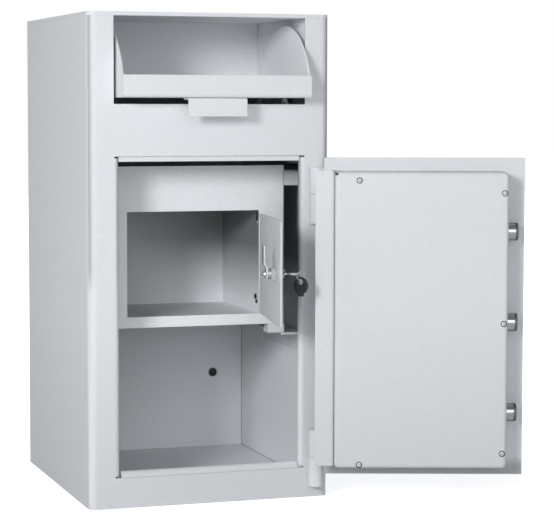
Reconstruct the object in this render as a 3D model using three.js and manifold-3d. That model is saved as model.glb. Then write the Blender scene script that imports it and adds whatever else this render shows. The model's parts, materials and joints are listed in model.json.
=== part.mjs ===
// A drop safe: a bent sheet body with a tilting deposit hopper above an inner locker and a bolted main door.
// Millimetres, +Z up, the front faces -Y. The origin is at the middle of the base.
import * as THREE from 'three';
import { mergeVertices } from 'three/addons/utils/BufferGeometryUtils.js';
import Module from 'manifold-3d';

const wasm = await Module();
wasm.setup();

// Body
const width = 356;
const depth = 406;
const height = 698;
const sheet = 3;
const bodyCornerRadius = 12;
const topThickness = 4.7;
const baseThickness = 10;
const backThickness = 3;
const seam = 0.3;
const cutOverrun = 5;
const halfWidth = width / 2;
const innerHalfWidth = halfWidth - sheet;
const wallLimit = innerHalfWidth - seam;
const innerTop = height - topThickness - seam;

// Anchor holes
const anchorRadius = 7;
const anchorBackInset = 53;
const anchorBackHeight = 132;
const anchorFloorInset = 45;
const anchorFloorFront = 60;
const anchorFloorRear = 34;
const anchorSide = halfWidth - anchorBackInset;
const anchorFloorSide = halfWidth - anchorFloorInset;
const anchorFloorBack = depth - anchorFloorRear;

// Doorway, its edges bent inwards, and the notches that let them bend
const stile = 37.5;
const doorwayDrop = 201.2;
const doorwayHalfWidth = halfWidth - stile;
const doorwayBottom = 43.4;
const doorwayTop = height - doorwayDrop;
const jambSideRadius = 6.5;
const jambEndRadius = 8.5;
const jambLand = 3;
const jambLap = 4;
const notch = 2.5;

// Header behind the top of the doorway
const headerEndGap = 7;
const headerShown = 7.4;
const headerLap = 15.2;
const headerLeg = 18;
const headerBendRadius = 3;
const headerHalfWidth = doorwayHalfWidth - headerEndGap;
const headerBottom = doorwayTop - headerShown;
const headerTop = doorwayTop + headerLap;

// Hopper, tilted open
const hopperOpeningDrop = 128;
const hopperStile = 37;
const hopperOpeningBottom = height - hopperOpeningDrop;
const hopperOpeningHalfWidth = halfWidth - hopperStile;
const chamberSheet = 2;
const pivotDepth = 75;
const pivotDrop = 2;
const pivotHeight = hopperOpeningBottom - pivotDrop;
const endTopRoom = 9;
const endRadius = innerTop - pivotHeight - endTopRoom;
const endSideRoom = 5;
const endPlace = hopperOpeningHalfWidth - endSideRoom;
const trayRise = 11;
const earMargin = 1;
const earRadius = trayRise + earMargin;
const traySideGap = 0.4;
const trayHalfWidth = endPlace - chamberSheet / 2 - traySideGap;
const trayUnderside = pivotHeight + trayRise;
const trayShort = 1;
const trayBack = pivotDepth + endRadius - trayShort;
const trayBendRadius = 4;
const lipSideRoom = 3.6;
const lipHeight = 31.5;
const lipHalfWidth = hopperOpeningHalfWidth - lipSideRoom;
const lipFront = pivotDepth - endRadius + trayShort;
const lipTop = trayUnderside + lipHeight;
const handleHalfWidth = 42.8;
const handleSheet = 2.6;
const handleSetBack = 5;
const handleHeight = 26.2;
const handleLap = 25;
const handleBendRadius = 2.4;
const handleFront = lipFront + handleSetBack;
const handleBottom = trayUnderside - handleHeight;
const handleBack = handleFront + handleLap;

// Chamber round the hopper
const cheekSideRoom = 5;
const cheekPlace = hopperOpeningHalfWidth + cheekSideRoom;
const cheekDrop = 12.8;
const cheekBottom = doorwayTop - cheekDrop;
const cheekFlange = 16;
const cheekBendRadius = 2;
const cheekLap = 5;
const baffleRoom = 40;
const baffleDepth = pivotDepth + endRadius + baffleRoom;
const cheekBack = baffleDepth + cheekLap;
const baffleFootRoom = 3;
const baffleFootRise = 15;
const baffleSlant = 29;
const baffleBendRadius = 14;
const baffleFoot = [pivotDepth + endRadius + baffleFootRoom, pivotHeight + baffleFootRise];
const baffleBendHeight = baffleFoot[1] + baffleSlant;

// Hopper pivots
const pivotRadius = 4;
const pivotHeadRadius = 5.5;
const pivotHeadLength = 1.8;
const pivotProud = 2;
const pivotClearance = 0.35;
const pivotEnd = cheekPlace + chamberSheet / 2 + pivotProud;

// Inner locker, hung from the height of the doorway's top, behind the room the shut door takes
const coverDepth = 47;
const lockRoom = 43;
const lockerSheet = 2;
const lockerFace = coverDepth + lockRoom;
const lockerOverlap = 0.5;
const lockerTopRoom = 16.8;
const lockerFrontHeight = 235;
const lockerFrontHalfWidth = doorwayHalfWidth + lockerOverlap;
const lockerFrontTop = doorwayTop - lockerTopRoom;
const lockerFrontBottom = lockerFrontTop - lockerFrontHeight;
const lockerReturn = 14;
const lockerBendRadius = 2.4;
const lockerMarginLeft = 41.5;
const lockerMarginRight = 39.6;
const lockerMarginBottom = 16;
const lockerMarginTop = 66;
const wellDepth = 134;
const lockerLeft = lockerMarginLeft - lockerFrontHalfWidth;
const lockerRight = lockerFrontHalfWidth - lockerMarginRight;
const lockerBottom = lockerFrontBottom + lockerMarginBottom;
const lockerTop = lockerFrontTop - lockerMarginTop;
const lockerBack = depth - wellDepth;
const keeperSetBack = 13;
const keeperDepth = 14;
const keeperFront = lockerFace + keeperSetBack;
const keeperBack = keeperFront + keeperDepth;
const keeperHalfHeight = 14;

// What carries the locker
const ledgeSheet = 3;
const ledgeDrop = 14;
const ledgeTop = lockerFrontBottom - ledgeDrop;
const ledgeLeg = 30;
const ledgeWidth = 39;
const ledgeReach = innerHalfWidth - ledgeWidth;
const ledgeLead = 2;
const ledgeTail = 3;
const ledgeFront = lockerFace - ledgeLead;
const ledgeBack = lockerBack + ledgeTail;
const ledgeBendRadius = 3;
const spacerWidth = 25;
const spacerDepth = 22;
const spacerOuter = lockerFrontHalfWidth;
const spacerInner = spacerOuter - spacerWidth;
const staySetBack = 16;
const stayPlace = lockerBack - staySetBack;
const stayFlange = 16;
const stayRise = 39;
const stayHeight = 42;
const stayBottom = lockerBottom + stayRise;
const stayTop = stayBottom + stayHeight;

// Chute that leads deposits over the locker and down behind it
const chuteFlange = 24;
const chuteTopRoom = 6;
const chuteFront = lockerFrontTop - chuteTopRoom;
const chuteFlangeBottom = chuteFront - chuteFlange;
const chuteBehind = 7;
const chuteOver = 8;
const chuteLipLean = 4;
const chuteLipDrop = 20;
const chuteBack = [lockerBack + lockerSheet + chuteBehind, lockerTop + lockerSheet + chuteOver];
const chuteLip = [chuteBack[0] + chuteLipLean, chuteBack[1] - chuteLipDrop];
const chuteBendRadius = 5;

// Main door plate and its hinges
const hingeInset = 23;
const knuckleRadius = 10.5;
const knuckleStandOff = 0.5;
const hingeX = halfWidth - hingeInset;
const hingeY = -knuckleRadius - knuckleStandOff;
const hingePinRadius = 6;
const hingeClearance = 0.35;
const knuckleFootHalfWidth = 8;
const knuckleBlind = 8;
const knuckleCap = 4;
const knuckleGap = 0.5;
const doorThickness = 12.7;
const doorStandOff = 0.5;
const doorLap = 2;
const doorHingeRoom = 10.8;
const doorBottomLap = 5.9;
const doorTopRoom = 2.8;
const doorFree = -doorwayHalfWidth - doorLap;
const doorHingeEdge = hingeX - doorHingeRoom;
const doorBottom = doorwayBottom - doorBottomLap;
const doorTop = doorwayTop - doorTopRoom;
const doorFace = -doorStandOff - doorThickness;
const doorOpenAngle = THREE.MathUtils.degToRad(161);
const upperKnuckleDrop = 14;
const upperDoorKnuckle = 38.3;
const upperBodyKnuckle = 42.7;
const lowerKnuckleDrop = 19.9;
const lowerBodyKnuckle = 42.3;
const lowerDoorKnuckle = 40.9;
const upperHingeTop = doorTop - upperKnuckleDrop;
const upperHingeSplit = upperHingeTop - upperDoorKnuckle;
const lowerHingeBottom = doorBottom - lowerKnuckleDrop;
const lowerHingeSplit = lowerHingeBottom + lowerBodyKnuckle;
const hinges = {
  upper: { bottom: upperHingeSplit - upperBodyKnuckle, split: upperHingeSplit, top: upperHingeTop },
  lower: { bottom: lowerHingeBottom, split: lowerHingeSplit, top: lowerHingeSplit + lowerDoorKnuckle },
};

// Cover over the boltwork, and the dead bar along the hinge side
const coverSheet = 2;
const coverFreeMargin = 27;
const coverHingeMargin = 14.2;
const coverBottomMargin = 16.5;
const coverTopMargin = 18.5;
const coverFree = doorFree + coverFreeMargin;
const coverHingeSide = doorHingeEdge - coverHingeMargin;
const coverBottom = doorBottom + coverBottomMargin;
const coverTop = doorTop - coverTopMargin;
const coverCornerRadius = 7;
const coverEdgeRadius = 5;
const deadBarSheet = 3;
const deadBarRoom = 1.9;
const deadBarReach = 25.4;
const deadBarProud = 1;
const deadBarBendRadius = 2.6;
const deadBarStart = 3.5;
const deadBarOver = 1.5;
const deadBarPlace = coverHingeSide + deadBarRoom;
const deadBarEnd = deadBarPlace + deadBarReach;
const deadBarDepth = coverDepth + deadBarProud;
const deadBarBottom = coverBottom + deadBarStart;
const deadBarTop = coverTop + deadBarOver;

// Boltwork behind the cover, drawn back
const boltRadius = 12.5;
const boltNose = 3;
const boltNoseWidthShare = 0.3;
const boltNoseLengthShare = 0.4;
const boltShown = 14.5;
const boltTip = coverFree - boltShown;
const boltDepth = 26;
const boltEndRoom = 81.55;
const boltSink = 3.45;
const boltSpacing = (coverTop - coverBottom) / 2 - boltEndRoom;
const boltMiddle = (coverTop + coverBottom) / 2 - boltSink;
const boltClearance = 0.45;
const boltTravel = 14.5;
const boltReachInside = 53.5;
const barFront = coverFree + boltReachInside;
const barThickness = 6;
const barNear = 12;
const barFar = 40;
const barOverhang = 40;
const armNear = 14;
const armThickness = 5;
const armHeight = 30;
const armOverhang = 12;
const slotBelow = 6.5;
const slotAbove = 7;
const slotClearance = 0.7;
const guideSetIn = 7;
const guidePlace = coverFree + guideSetIn;
const guideSheet = 3;
const guideFoot = 24;
const guideTopRoom = 3;
const guideTop = coverDepth - guideTopRoom;
const guideOverhang = 35;
const guideBendRadius = 3;

// Handle and crank
const handleOffset = 12.75;
const handleBelowMiddle = 46.3;
const handleX = (coverFree + coverHingeSide) / 2 + handleOffset;
const handleZ = boltMiddle - handleBelowMiddle;
const spindleRadius = 7;
const spindleEnd = 12;
const spindleClearance = 0.4;
const hubRadius = 18;
const hubLength = 26;
const leverRadius = 7;
const leverLength = 112;
const crankRadius = 13;
const crankNear = 5;
const crankFar = 11;
const crankThrow = 16;
const crankPinRadius = 4;
const crankPinEnd = 22;
const plateGap = 0.3;

// Dial and combination lock
const dialAboveMiddle = 83.7;
const dialX = handleX;
const dialZ = boltMiddle + dialAboveMiddle;
const dialRingOuter = 46;
const dialRingInner = 39;
const dialRingHeight = 7;
const dialRadius = 38;
const dialPlate = 8;
const dialWaistRadius = 17;
const dialGripRadius = 20;
const dialGripStart = 15;
const dialLength = 30;
const dialSpindleRadius = 4;
const dialSpindleEnd = 16;
const dialClearance = 0.5;
const caseHalfWidth = 30;
const caseBelow = 49;
const caseAbove = 27;
const caseDepth = 30;
const caseLeft = dialX - caseHalfWidth;
const caseRight = dialX + caseHalfWidth;
const caseBottom = dialZ - caseBelow;
const caseTop = dialZ + caseAbove;
const lockBoltShown = 7;
const lockBoltLength = 36;
const lockBoltNear = 10.4;
const lockBoltFar = 21.6;
const lockBoltRise = 12.4;
const lockBoltHeight = 13.2;
const lockBoltClearance = 0.4;
const lockBoltTip = caseLeft - lockBoltShown;
const lockBoltBottom = caseBottom + lockBoltRise;
const lockBoltTop = lockBoltBottom + lockBoltHeight;
const lugRoom = 2;
const lugOverhang = 8.4;
const lugEnd = lockBoltTip - lugRoom;
const lugBottom = lockBoltBottom - lugOverhang;
const lugTop = lockBoltTop + lugOverhang;

// Locker door
const innerHingeOutside = 4.6;
const innerHingeProud = 4.3;
const innerHingeX = lockerRight + innerHingeOutside;
const innerHingeY = lockerFace - innerHingeProud;
const innerOpenAngle = THREE.MathUtils.degToRad(80.3);
const innerSheet = 3;
const innerProud = 0.5;
const innerFreeGap = 1;
const innerHingeGap = 2.4;
const innerBottomGap = 2;
const innerTopGap = 4.5;
const innerFace = lockerFace - innerProud;
const innerFree = lockerLeft + innerFreeGap;
const innerHingeEdge = lockerRight - innerHingeGap;
const innerBottom = lockerBottom + innerBottomGap;
const innerTopEdge = lockerTop - innerTopGap;
const innerBarrelRadius = 3.6;
const innerPinRadius = 1.6;
const innerPinClearance = 0.35;
const innerBarrelHalf = 9;
const innerHingeInset = 32;
const innerHingeHeights = [lockerBottom + innerHingeInset, lockerTop - innerHingeInset];
const innerStrap = 2;
const innerStrapLength = 34;
const innerStrapEnd = innerHingeX - innerStrapLength;
const innerFixedLeaf = 24;
const innerFixedSheet = 1.6;

// Cam lock, its keys and ring
const lockInset = 33.5;
const lockDrop = 79.5;
const lockX = lockerLeft + lockInset;
const lockZ = lockerTop - lockDrop;
const lockFlangeRadius = 9.5;
const lockFlangeHeight = 2;
const lockBodyRadius = 6.8;
const lockBodyEnd = 12.5;
const lockHoleClearance = 0.35;
const lockPlugRadius = 4.9;
const lockNutRadius = 9.4;
const lockNutHeight = 8;
const camSheet = 2.5;
const camHalfWidth = 6;
const camJoggleStart = 8;
const camJoggleEnd = 15;
const camJoggle = 4;
const camLength = 39;
const camBendRadius = 2;
const camScrewRadius = 4.2;
const camScrewHeight = 4;
const keyThickness = 2.2;
const keyBladeHalfHeight = 3.3;
const keyBladeLength = 8;
const keyHeadRadius = 11;
const keyHoleRadius = 3.6;
const keyBridge = 2.4;
const ringRadius = 6;
const ringWireRadius = 0.8;
const ringSlack = 0.45;
const gripRadius = 12;
const gripThickness = 3.2;
const gripHoleRadius = 4.2;
const gripHoleDrop = 2.8;
const gripSocket = 6;
const spareBladeThickness = 1.6;
const spareBladeLength = 19;
const spareTurn = THREE.MathUtils.degToRad(-45);

const coatedSteel = { color: 0xe2e5e9, roughness: 0.62, metalness: 0.0 };
const darkSteel = { color: 0x8c8f93, roughness: 0.5, metalness: 0.7 };
const chrome = { color: 0xd8dadd, roughness: 0.18, metalness: 1.0 };
const zincPlated = { color: 0xb9bcc0, roughness: 0.35, metalness: 0.9 };
const blackPlastic = { color: 0x1c1c1e, roughness: 0.5, metalness: 0.0 };

// Solids from geometries and back
function solidOf(geometry) {
  geometry.deleteAttribute('normal');
  geometry.deleteAttribute('uv');
  const merged = mergeVertices(geometry);
  const triVerts = new Uint32Array(merged.index.array);
  const vertProperties = new Float32Array(merged.attributes.position.array);
  return new wasm.Manifold(new wasm.Mesh({ numProp: 3, vertProperties, triVerts }));
}

function geometryOf(solid) {
  const mesh = solid.getMesh();
  const geometry = new THREE.BufferGeometry();
  geometry.setAttribute('position', new THREE.BufferAttribute(mesh.vertProperties, mesh.numProp));
  geometry.setIndex(new THREE.BufferAttribute(mesh.triVerts, 1));
  geometry.computeVertexNormals();
  return geometry;
}

function piece(name, solid, finish) {
  const mesh = new THREE.Mesh(geometryOf(solid), new THREE.MeshStandardMaterial(finish));
  mesh.name = name;
  return mesh;
}

// Plain blocks, rods and rings
function block(x, y, z) {
  const geometry = new THREE.BoxGeometry(x[1] - x[0], y[1] - y[0], z[1] - z[0]);
  geometry.translate((x[0] + x[1]) / 2, (y[0] + y[1]) / 2, (z[0] + z[1]) / 2);
  return solidOf(geometry);
}

function turned(profile, segments = 32) {
  const points = profile.map(([radius, along]) => new THREE.Vector2(radius, along));
  return new THREE.LatheGeometry(points, segments);
}

function rod(radius, from, to, segments = 32) {
  return turned([[0, from], [radius, from], [radius, to], [0, to]], segments);
}

// A lathe geometry stands along Y, so these lay it along X or stand it along Z at a place.
function alongX(geometry, y, z) {
  geometry.rotateZ(-Math.PI / 2);
  geometry.translate(0, y, z);
  return solidOf(geometry);
}

function alongY(geometry, x, z) {
  geometry.translate(x, 0, z);
  return solidOf(geometry);
}

function alongZ(geometry, x, y) {
  geometry.rotateX(Math.PI / 2);
  geometry.translate(x, y, 0);
  return solidOf(geometry);
}

// Outlines drawn flat, then given a thickness along one axis
const planes = {
  seenFromTop: new THREE.Matrix4(),
  seenFromSide: new THREE.Matrix4().makeBasis(
    new THREE.Vector3(0, 1, 0), new THREE.Vector3(0, 0, 1), new THREE.Vector3(1, 0, 0)),
  seenFromFront: new THREE.Matrix4().makeBasis(
    new THREE.Vector3(1, 0, 0), new THREE.Vector3(0, 0, 1), new THREE.Vector3(0, -1, 0)),
};

function extruded(shape, plane, from, to, curveSegments = 12) {
  const geometry = new THREE.ExtrudeGeometry(shape, { depth: to - from, bevelEnabled: false, curveSegments });
  const start = plane === 'seenFromFront' ? -to : from;
  geometry.translate(0, 0, start);
  geometry.applyMatrix4(planes[plane]);
  return solidOf(geometry);
}

function roundedRectangle(x, z, radius) {
  const shape = new THREE.Shape();
  shape.absarc(x[1] - radius, z[0] + radius, radius, -Math.PI / 2, 0);
  shape.absarc(x[1] - radius, z[1] - radius, radius, 0, Math.PI / 2);
  shape.absarc(x[0] + radius, z[1] - radius, radius, Math.PI / 2, Math.PI);
  shape.absarc(x[0] + radius, z[0] + radius, radius, Math.PI, Math.PI * 3 / 2);
  shape.closePath();
  return shape;
}

// A bent sheet seen on its edge: the middle line runs through the corners, each rounded to the bend radius.
function bentSheet(corners, bendRadius, thickness, bendSteps = 6) {
  const places = corners.map(([u, v]) => new THREE.Vector2(u, v));
  const legs = places.slice(1).map((place, i) => place.clone().sub(places[i]).normalize());
  const middle = [{ at: places[0], leg: legs[0] }];
  for (let i = 1; i < legs.length; i += 1) {
    const turn = Math.atan2(legs[i - 1].cross(legs[i]), legs[i - 1].dot(legs[i]));
    const cutBack = bendRadius * Math.tan(Math.abs(turn) / 2);
    const start = places[i].clone().addScaledVector(legs[i - 1], -cutBack);
    const side = new THREE.Vector2(-legs[i - 1].y, legs[i - 1].x).multiplyScalar(Math.sign(turn));
    const centre = start.clone().addScaledVector(side, bendRadius);
    for (let step = 0; step <= bendSteps; step += 1) {
      const turned = turn * step / bendSteps;
      const at = start.clone().rotateAround(centre, turned);
      const leg = legs[i - 1].clone().rotateAround(new THREE.Vector2(), turned);
      middle.push({ at, leg });
    }
  }
  middle.push({ at: places.at(-1), leg: legs.at(-1) });
  const edge = (reach) => middle.map(({ at, leg }) => new THREE.Vector2(at.x - leg.y * reach, at.y + leg.x * reach));
  return new THREE.Shape([...edge(thickness / 2), ...edge(-thickness / 2).reverse()]);
}

// Body: one sheet round the left side, the front and the right side
function doorwayEdge(corners, radius, plane, from, to) {
  return extruded(bentSheet(corners, radius - sheet / 2, sheet), plane, from, to);
}

function bodyWrap() {
  const side = halfWidth - sheet / 2;
  const middle = sheet / 2;
  const path = [[-side, depth], [-side, middle], [side, middle], [side, depth]];
  let body = extruded(bentSheet(path, bodyCornerRadius - middle, sheet, 8), 'seenFromTop', 0, innerTop);
  const through = [-cutOverrun, sheet + cutOverrun];
  const hopperWidth = [-hopperOpeningHalfWidth, hopperOpeningHalfWidth];
  body = body.subtract(block(hopperWidth, through, [hopperOpeningBottom, height + cutOverrun]));
  const doorwayWidth = [-doorwayHalfWidth, doorwayHalfWidth];
  body = body.subtract(block(doorwayWidth, through, [doorwayBottom, doorwayTop]));
  const sideFace = doorwayHalfWidth - jambSideRadius;
  const sideEnd = jambSideRadius + jambLand;
  for (const hand of [-1, 1]) {
    const corner = hand * (sideFace + middle);
    const jamb = [[hand * (doorwayHalfWidth + jambLap), middle], [corner, middle], [corner, sideEnd]];
    const run = [doorwayBottom + notch, doorwayTop - notch];
    body = body.add(doorwayEdge(jamb, jambSideRadius, 'seenFromTop', run[0], run[1]));
  }
  const endRun = sideFace - notch;
  const endDepth = jambEndRadius + jambLand;
  const corner = doorwayBottom + jambEndRadius - middle;
  const sill = [[middle, doorwayBottom - jambLap], [middle, corner], [endDepth, corner]];
  body = body.add(doorwayEdge(sill, jambEndRadius, 'seenFromSide', -endRun, endRun));
  return piece('body_wrap', body, coatedSteel);
}

// The angle behind the top of the doorway, its lower leg showing under the cut edge
function doorwayHeader() {
  const place = sheet * 3 / 2 + seam;
  const path = [[headerLeg, headerTop], [place, headerTop], [place, headerBottom]];
  const shape = bentSheet(path, headerBendRadius, sheet);
  return piece('doorway_header', extruded(shape, 'seenFromSide', -headerHalfWidth, headerHalfWidth), coatedSteel);
}

// The body's plan, drawn in by a gap all round but at the back
function bodyPlan(drawnIn) {
  const shape = new THREE.Shape();
  const side = halfWidth - drawnIn;
  const centre = halfWidth - bodyCornerRadius;
  const radius = bodyCornerRadius - drawnIn;
  shape.moveTo(side, depth);
  shape.lineTo(-side, depth);
  shape.absarc(-centre, bodyCornerRadius, radius, Math.PI, Math.PI * 3 / 2);
  shape.absarc(centre, bodyCornerRadius, radius, -Math.PI / 2, 0);
  shape.closePath();
  return shape;
}

function topPlate() {
  return piece('top_plate', extruded(bodyPlan(0), 'seenFromTop', height - topThickness, height), coatedSteel);
}

function basePlate() {
  let plate = extruded(bodyPlan(sheet + seam), 'seenFromTop', 0, baseThickness);
  for (const x of [-anchorFloorSide, anchorFloorSide]) {
    for (const y of [anchorFloorFront, anchorFloorBack]) {
      plate = plate.subtract(alongZ(rod(anchorRadius, -cutOverrun, baseThickness + cutOverrun), x, y));
    }
  }
  return piece('base_plate', plate, coatedSteel);
}

function backPlate() {
  const z = [baseThickness + seam, innerTop];
  let plate = block([-wallLimit, wallLimit], [depth - backThickness, depth], z);
  for (const x of [-anchorSide, anchorSide]) {
    const hole = rod(anchorRadius, depth - backThickness - cutOverrun, depth + cutOverrun);
    plate = plate.subtract(alongY(hole, x, anchorBackHeight));
  }
  return piece('back_plate', plate, coatedSteel);
}

// Chamber round the hopper
function hopperCheek(name, hand) {
  const flangePlace = sheet + seam + chamberSheet / 2;
  const path = [[hand * cheekPlace, cheekBack], [hand * cheekPlace, flangePlace],
    [hand * (cheekPlace + cheekFlange), flangePlace]];
  const shape = bentSheet(path, cheekBendRadius, chamberSheet);
  const plate = extruded(shape, 'seenFromTop', cheekBottom, innerTop - seam);
  const reach = cheekPlace + chamberSheet;
  const hole = alongX(rod(pivotRadius + pivotClearance, -reach, reach), pivotDepth, pivotHeight);
  return piece(name, plate.subtract(hole), coatedSteel);
}

function hopperBaffle() {
  const path = [[baffleDepth, innerTop - seam], [baffleDepth, baffleBendHeight], baffleFoot];
  const reach = cheekPlace - chamberSheet / 2 - seam;
  const shape = bentSheet(path, baffleBendRadius, chamberSheet);
  return piece('hopper_baffle', extruded(shape, 'seenFromSide', -reach, reach), coatedSteel);
}

function depositChute() {
  const flangePlace = lockerFace + lockerSheet + seam + chamberSheet / 2;
  const path = [[flangePlace, chuteFlangeBottom], [flangePlace, chuteFront], chuteBack, chuteLip];
  const shape = bentSheet(path, chuteBendRadius, chamberSheet);
  const reach = innerHalfWidth - seam;
  return piece('deposit_chute', extruded(shape, 'seenFromSide', -reach, reach), coatedSteel);
}

// Hopper
function hopperTray() {
  const middle = trayUnderside + chamberSheet / 2;
  const lipMiddle = lipFront + chamberSheet / 2;
  const path = [[trayBack, middle], [lipMiddle, middle], [lipMiddle, lipTop]];
  const shape = bentSheet(path, trayBendRadius, chamberSheet);
  let tray = extruded(shape, 'seenFromSide', -lipHalfWidth, lipHalfWidth);
  const behindLip = [lipFront + chamberSheet, trayBack + cutOverrun];
  const heights = [trayUnderside - cutOverrun, lipTop + cutOverrun];
  for (const hand of [-1, 1]) {
    const x = [hand * trayHalfWidth, hand * (lipHalfWidth + cutOverrun)].sort((a, b) => a - b);
    tray = tray.subtract(block(x, behindLip, heights));
  }
  return piece('hopper_tray', tray, coatedSteel);
}

function hopperEnd(name, hand) {
  const shape = new THREE.Shape();
  const plateLift = Math.asin((trayUnderside - pivotHeight) / endRadius);
  const earLift = Math.asin((trayUnderside - pivotHeight) / earRadius);
  shape.absarc(pivotDepth, pivotHeight, endRadius, plateLift, Math.PI - plateLift);
  shape.absarc(pivotDepth, pivotHeight, earRadius, Math.PI - earLift, Math.PI * 2 + earLift);
  shape.closePath();
  const x = [hand * endPlace - chamberSheet / 2, hand * endPlace + chamberSheet / 2];
  let plate = extruded(shape, 'seenFromSide', x[0], x[1], 24);
  const front = lipFront + chamberSheet + seam;
  const reach = endPlace + chamberSheet;
  plate = plate.subtract(block([-reach, reach], [lipFront - cutOverrun, front], [0, lipTop + seam]));
  const hole = alongX(rod(pivotRadius + pivotClearance, -reach, reach), pivotDepth, pivotHeight);
  return piece(name, plate.subtract(hole), coatedSteel);
}

function hopperPivot(name, hand) {
  const headEnd = endPlace - chamberSheet / 2 - seam;
  const headStart = headEnd - pivotHeadLength;
  const profile = [[0, hand * headStart], [pivotHeadRadius, hand * headStart], [pivotHeadRadius, hand * headEnd],
    [pivotRadius, hand * headEnd], [pivotRadius, hand * pivotEnd], [0, hand * pivotEnd]];
  const ordered = hand > 0 ? profile : profile.reverse();
  return piece(name, alongX(turned(ordered), pivotDepth, pivotHeight), zincPlated);
}

function hopperHandle() {
  const middle = trayUnderside - seam - handleSheet / 2;
  const front = handleFront + handleSheet / 2;
  const shape = bentSheet([[handleBack, middle], [front, middle], [front, handleBottom]], handleBendRadius, handleSheet);
  return piece('hopper_handle', extruded(shape, 'seenFromSide', -handleHalfWidth, handleHalfWidth), coatedSteel);
}

// Locker
function lockerFront() {
  const side = lockerFrontHalfWidth - lockerSheet / 2;
  const middle = lockerFace + lockerSheet / 2;
  const back = lockerFace + lockerReturn;
  const path = [[-side, back], [-side, middle], [side, middle], [side, back]];
  const shape = bentSheet(path, lockerBendRadius, lockerSheet);
  let frame = extruded(shape, 'seenFromTop', lockerFrontBottom, lockerFrontTop);
  const through = [lockerFace - cutOverrun, lockerFace + lockerSheet + cutOverrun];
  frame = frame.subtract(block([lockerLeft, lockerRight], through, [lockerBottom, lockerTop]));
  const wide = [-lockerFrontHalfWidth - cutOverrun, lockerFrontHalfWidth + cutOverrun];
  const chuteSeat = [chuteFlangeBottom - seam, lockerFrontTop + cutOverrun];
  frame = frame.subtract(block(wide, [lockerFace + lockerSheet, back + cutOverrun], chuteSeat));
  return piece('locker_front', frame, coatedSteel);
}

function lockerBox() {
  const front = lockerFace + lockerSheet + seam;
  const outerX = [lockerLeft - lockerSheet, lockerRight + lockerSheet];
  const outerZ = [lockerBottom - lockerSheet, lockerTop + lockerSheet];
  const outer = block(outerX, [front, lockerBack + lockerSheet], outerZ);
  const inner = block([lockerLeft, lockerRight], [front - cutOverrun, lockerBack], [lockerBottom, lockerTop]);
  const keeperX = [lockerLeft - lockerSheet - cutOverrun, lockerLeft + cutOverrun];
  const keeper = block(keeperX, [keeperFront, keeperBack], [lockZ - keeperHalfHeight, lockZ + keeperHalfHeight]);
  return piece('locker_box', outer.subtract(inner).subtract(keeper), coatedSteel);
}

function lockerLedge(name, hand) {
  const wall = hand * (wallLimit - ledgeSheet / 2);
  const middle = ledgeTop - ledgeSheet / 2;
  const shape = bentSheet([[wall, ledgeTop - ledgeLeg], [wall, middle], [hand * ledgeReach, middle]],
    ledgeBendRadius, ledgeSheet);
  return piece(name, extruded(shape, 'seenFromFront', ledgeFront, ledgeBack), coatedSteel);
}

function lockerSpacer(name, hand) {
  const x = [hand * spacerInner, hand * spacerOuter].sort((a, b) => a - b);
  const z = [ledgeTop + seam, lockerFrontBottom - seam];
  return piece(name, block(x, [lockerFace, lockerFace + spacerDepth], z), coatedSteel);
}

function lockerStay(name, hand, boxSide) {
  const boxLeg = hand * (boxSide + seam + lockerSheet / 2);
  const wallLeg = hand * (wallLimit - lockerSheet / 2);
  const front = stayPlace - stayFlange;
  const path = [[boxLeg, front], [boxLeg, stayPlace], [wallLeg, stayPlace], [wallLeg, front]];
  const shape = bentSheet(path, lockerBendRadius, lockerSheet);
  return piece(name, extruded(shape, 'seenFromTop', stayBottom, stayTop), coatedSteel);
}

// Main door hinges
function knuckle(name, heights, foot, boreFrom, boreTo) {
  const barrel = alongZ(rod(knuckleRadius, heights[0], heights[1]), hingeX, hingeY);
  const bore = alongZ(rod(hingePinRadius + hingeClearance, boreFrom, boreTo), hingeX, hingeY);
  return piece(name, barrel.add(block(foot.x, foot.y, heights)).subtract(bore), coatedSteel);
}

function bodyKnuckle(name, hinge) {
  const foot = { x: [hingeX - knuckleFootHalfWidth, hingeX + knuckleFootHalfWidth], y: [hingeY, -seam] };
  return knuckle(name, [hinge.bottom, hinge.split], foot, hinge.bottom + knuckleBlind, hinge.split + cutOverrun);
}

function doorKnuckle(name, hinge) {
  const foot = { x: [doorHingeEdge + seam, hingeX], y: [doorFace, hingeY / 2] };
  const bottom = hinge.split + knuckleGap;
  return knuckle(name, [bottom, hinge.top], foot, bottom - cutOverrun, hinge.top - knuckleCap);
}

function hingePin(name, hinge) {
  const bottom = hinge.bottom + knuckleBlind + seam;
  const top = hinge.top - knuckleCap - knuckleGap;
  return piece(name, alongZ(rod(hingePinRadius, bottom, top), hingeX, hingeY), zincPlated);
}

// Main door
function doorPlate() {
  let plate = block([doorFree, doorHingeEdge], [doorFace, -doorStandOff], [doorBottom, doorTop]);
  const through = [doorFace - cutOverrun, cutOverrun];
  plate = plate.subtract(alongY(rod(spindleRadius + spindleClearance, ...through), handleX, handleZ));
  plate = plate.subtract(alongY(rod(dialSpindleRadius + dialClearance, ...through), dialX, dialZ));
  return piece('door_plate', plate, coatedSteel);
}

function boltHeights() {
  return [boltMiddle - boltSpacing, boltMiddle, boltMiddle + boltSpacing];
}

function boltHoles(from, to) {
  return boltHeights().map((z) => alongX(rod(boltRadius + boltClearance, from, to), boltDepth, z));
}

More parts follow.
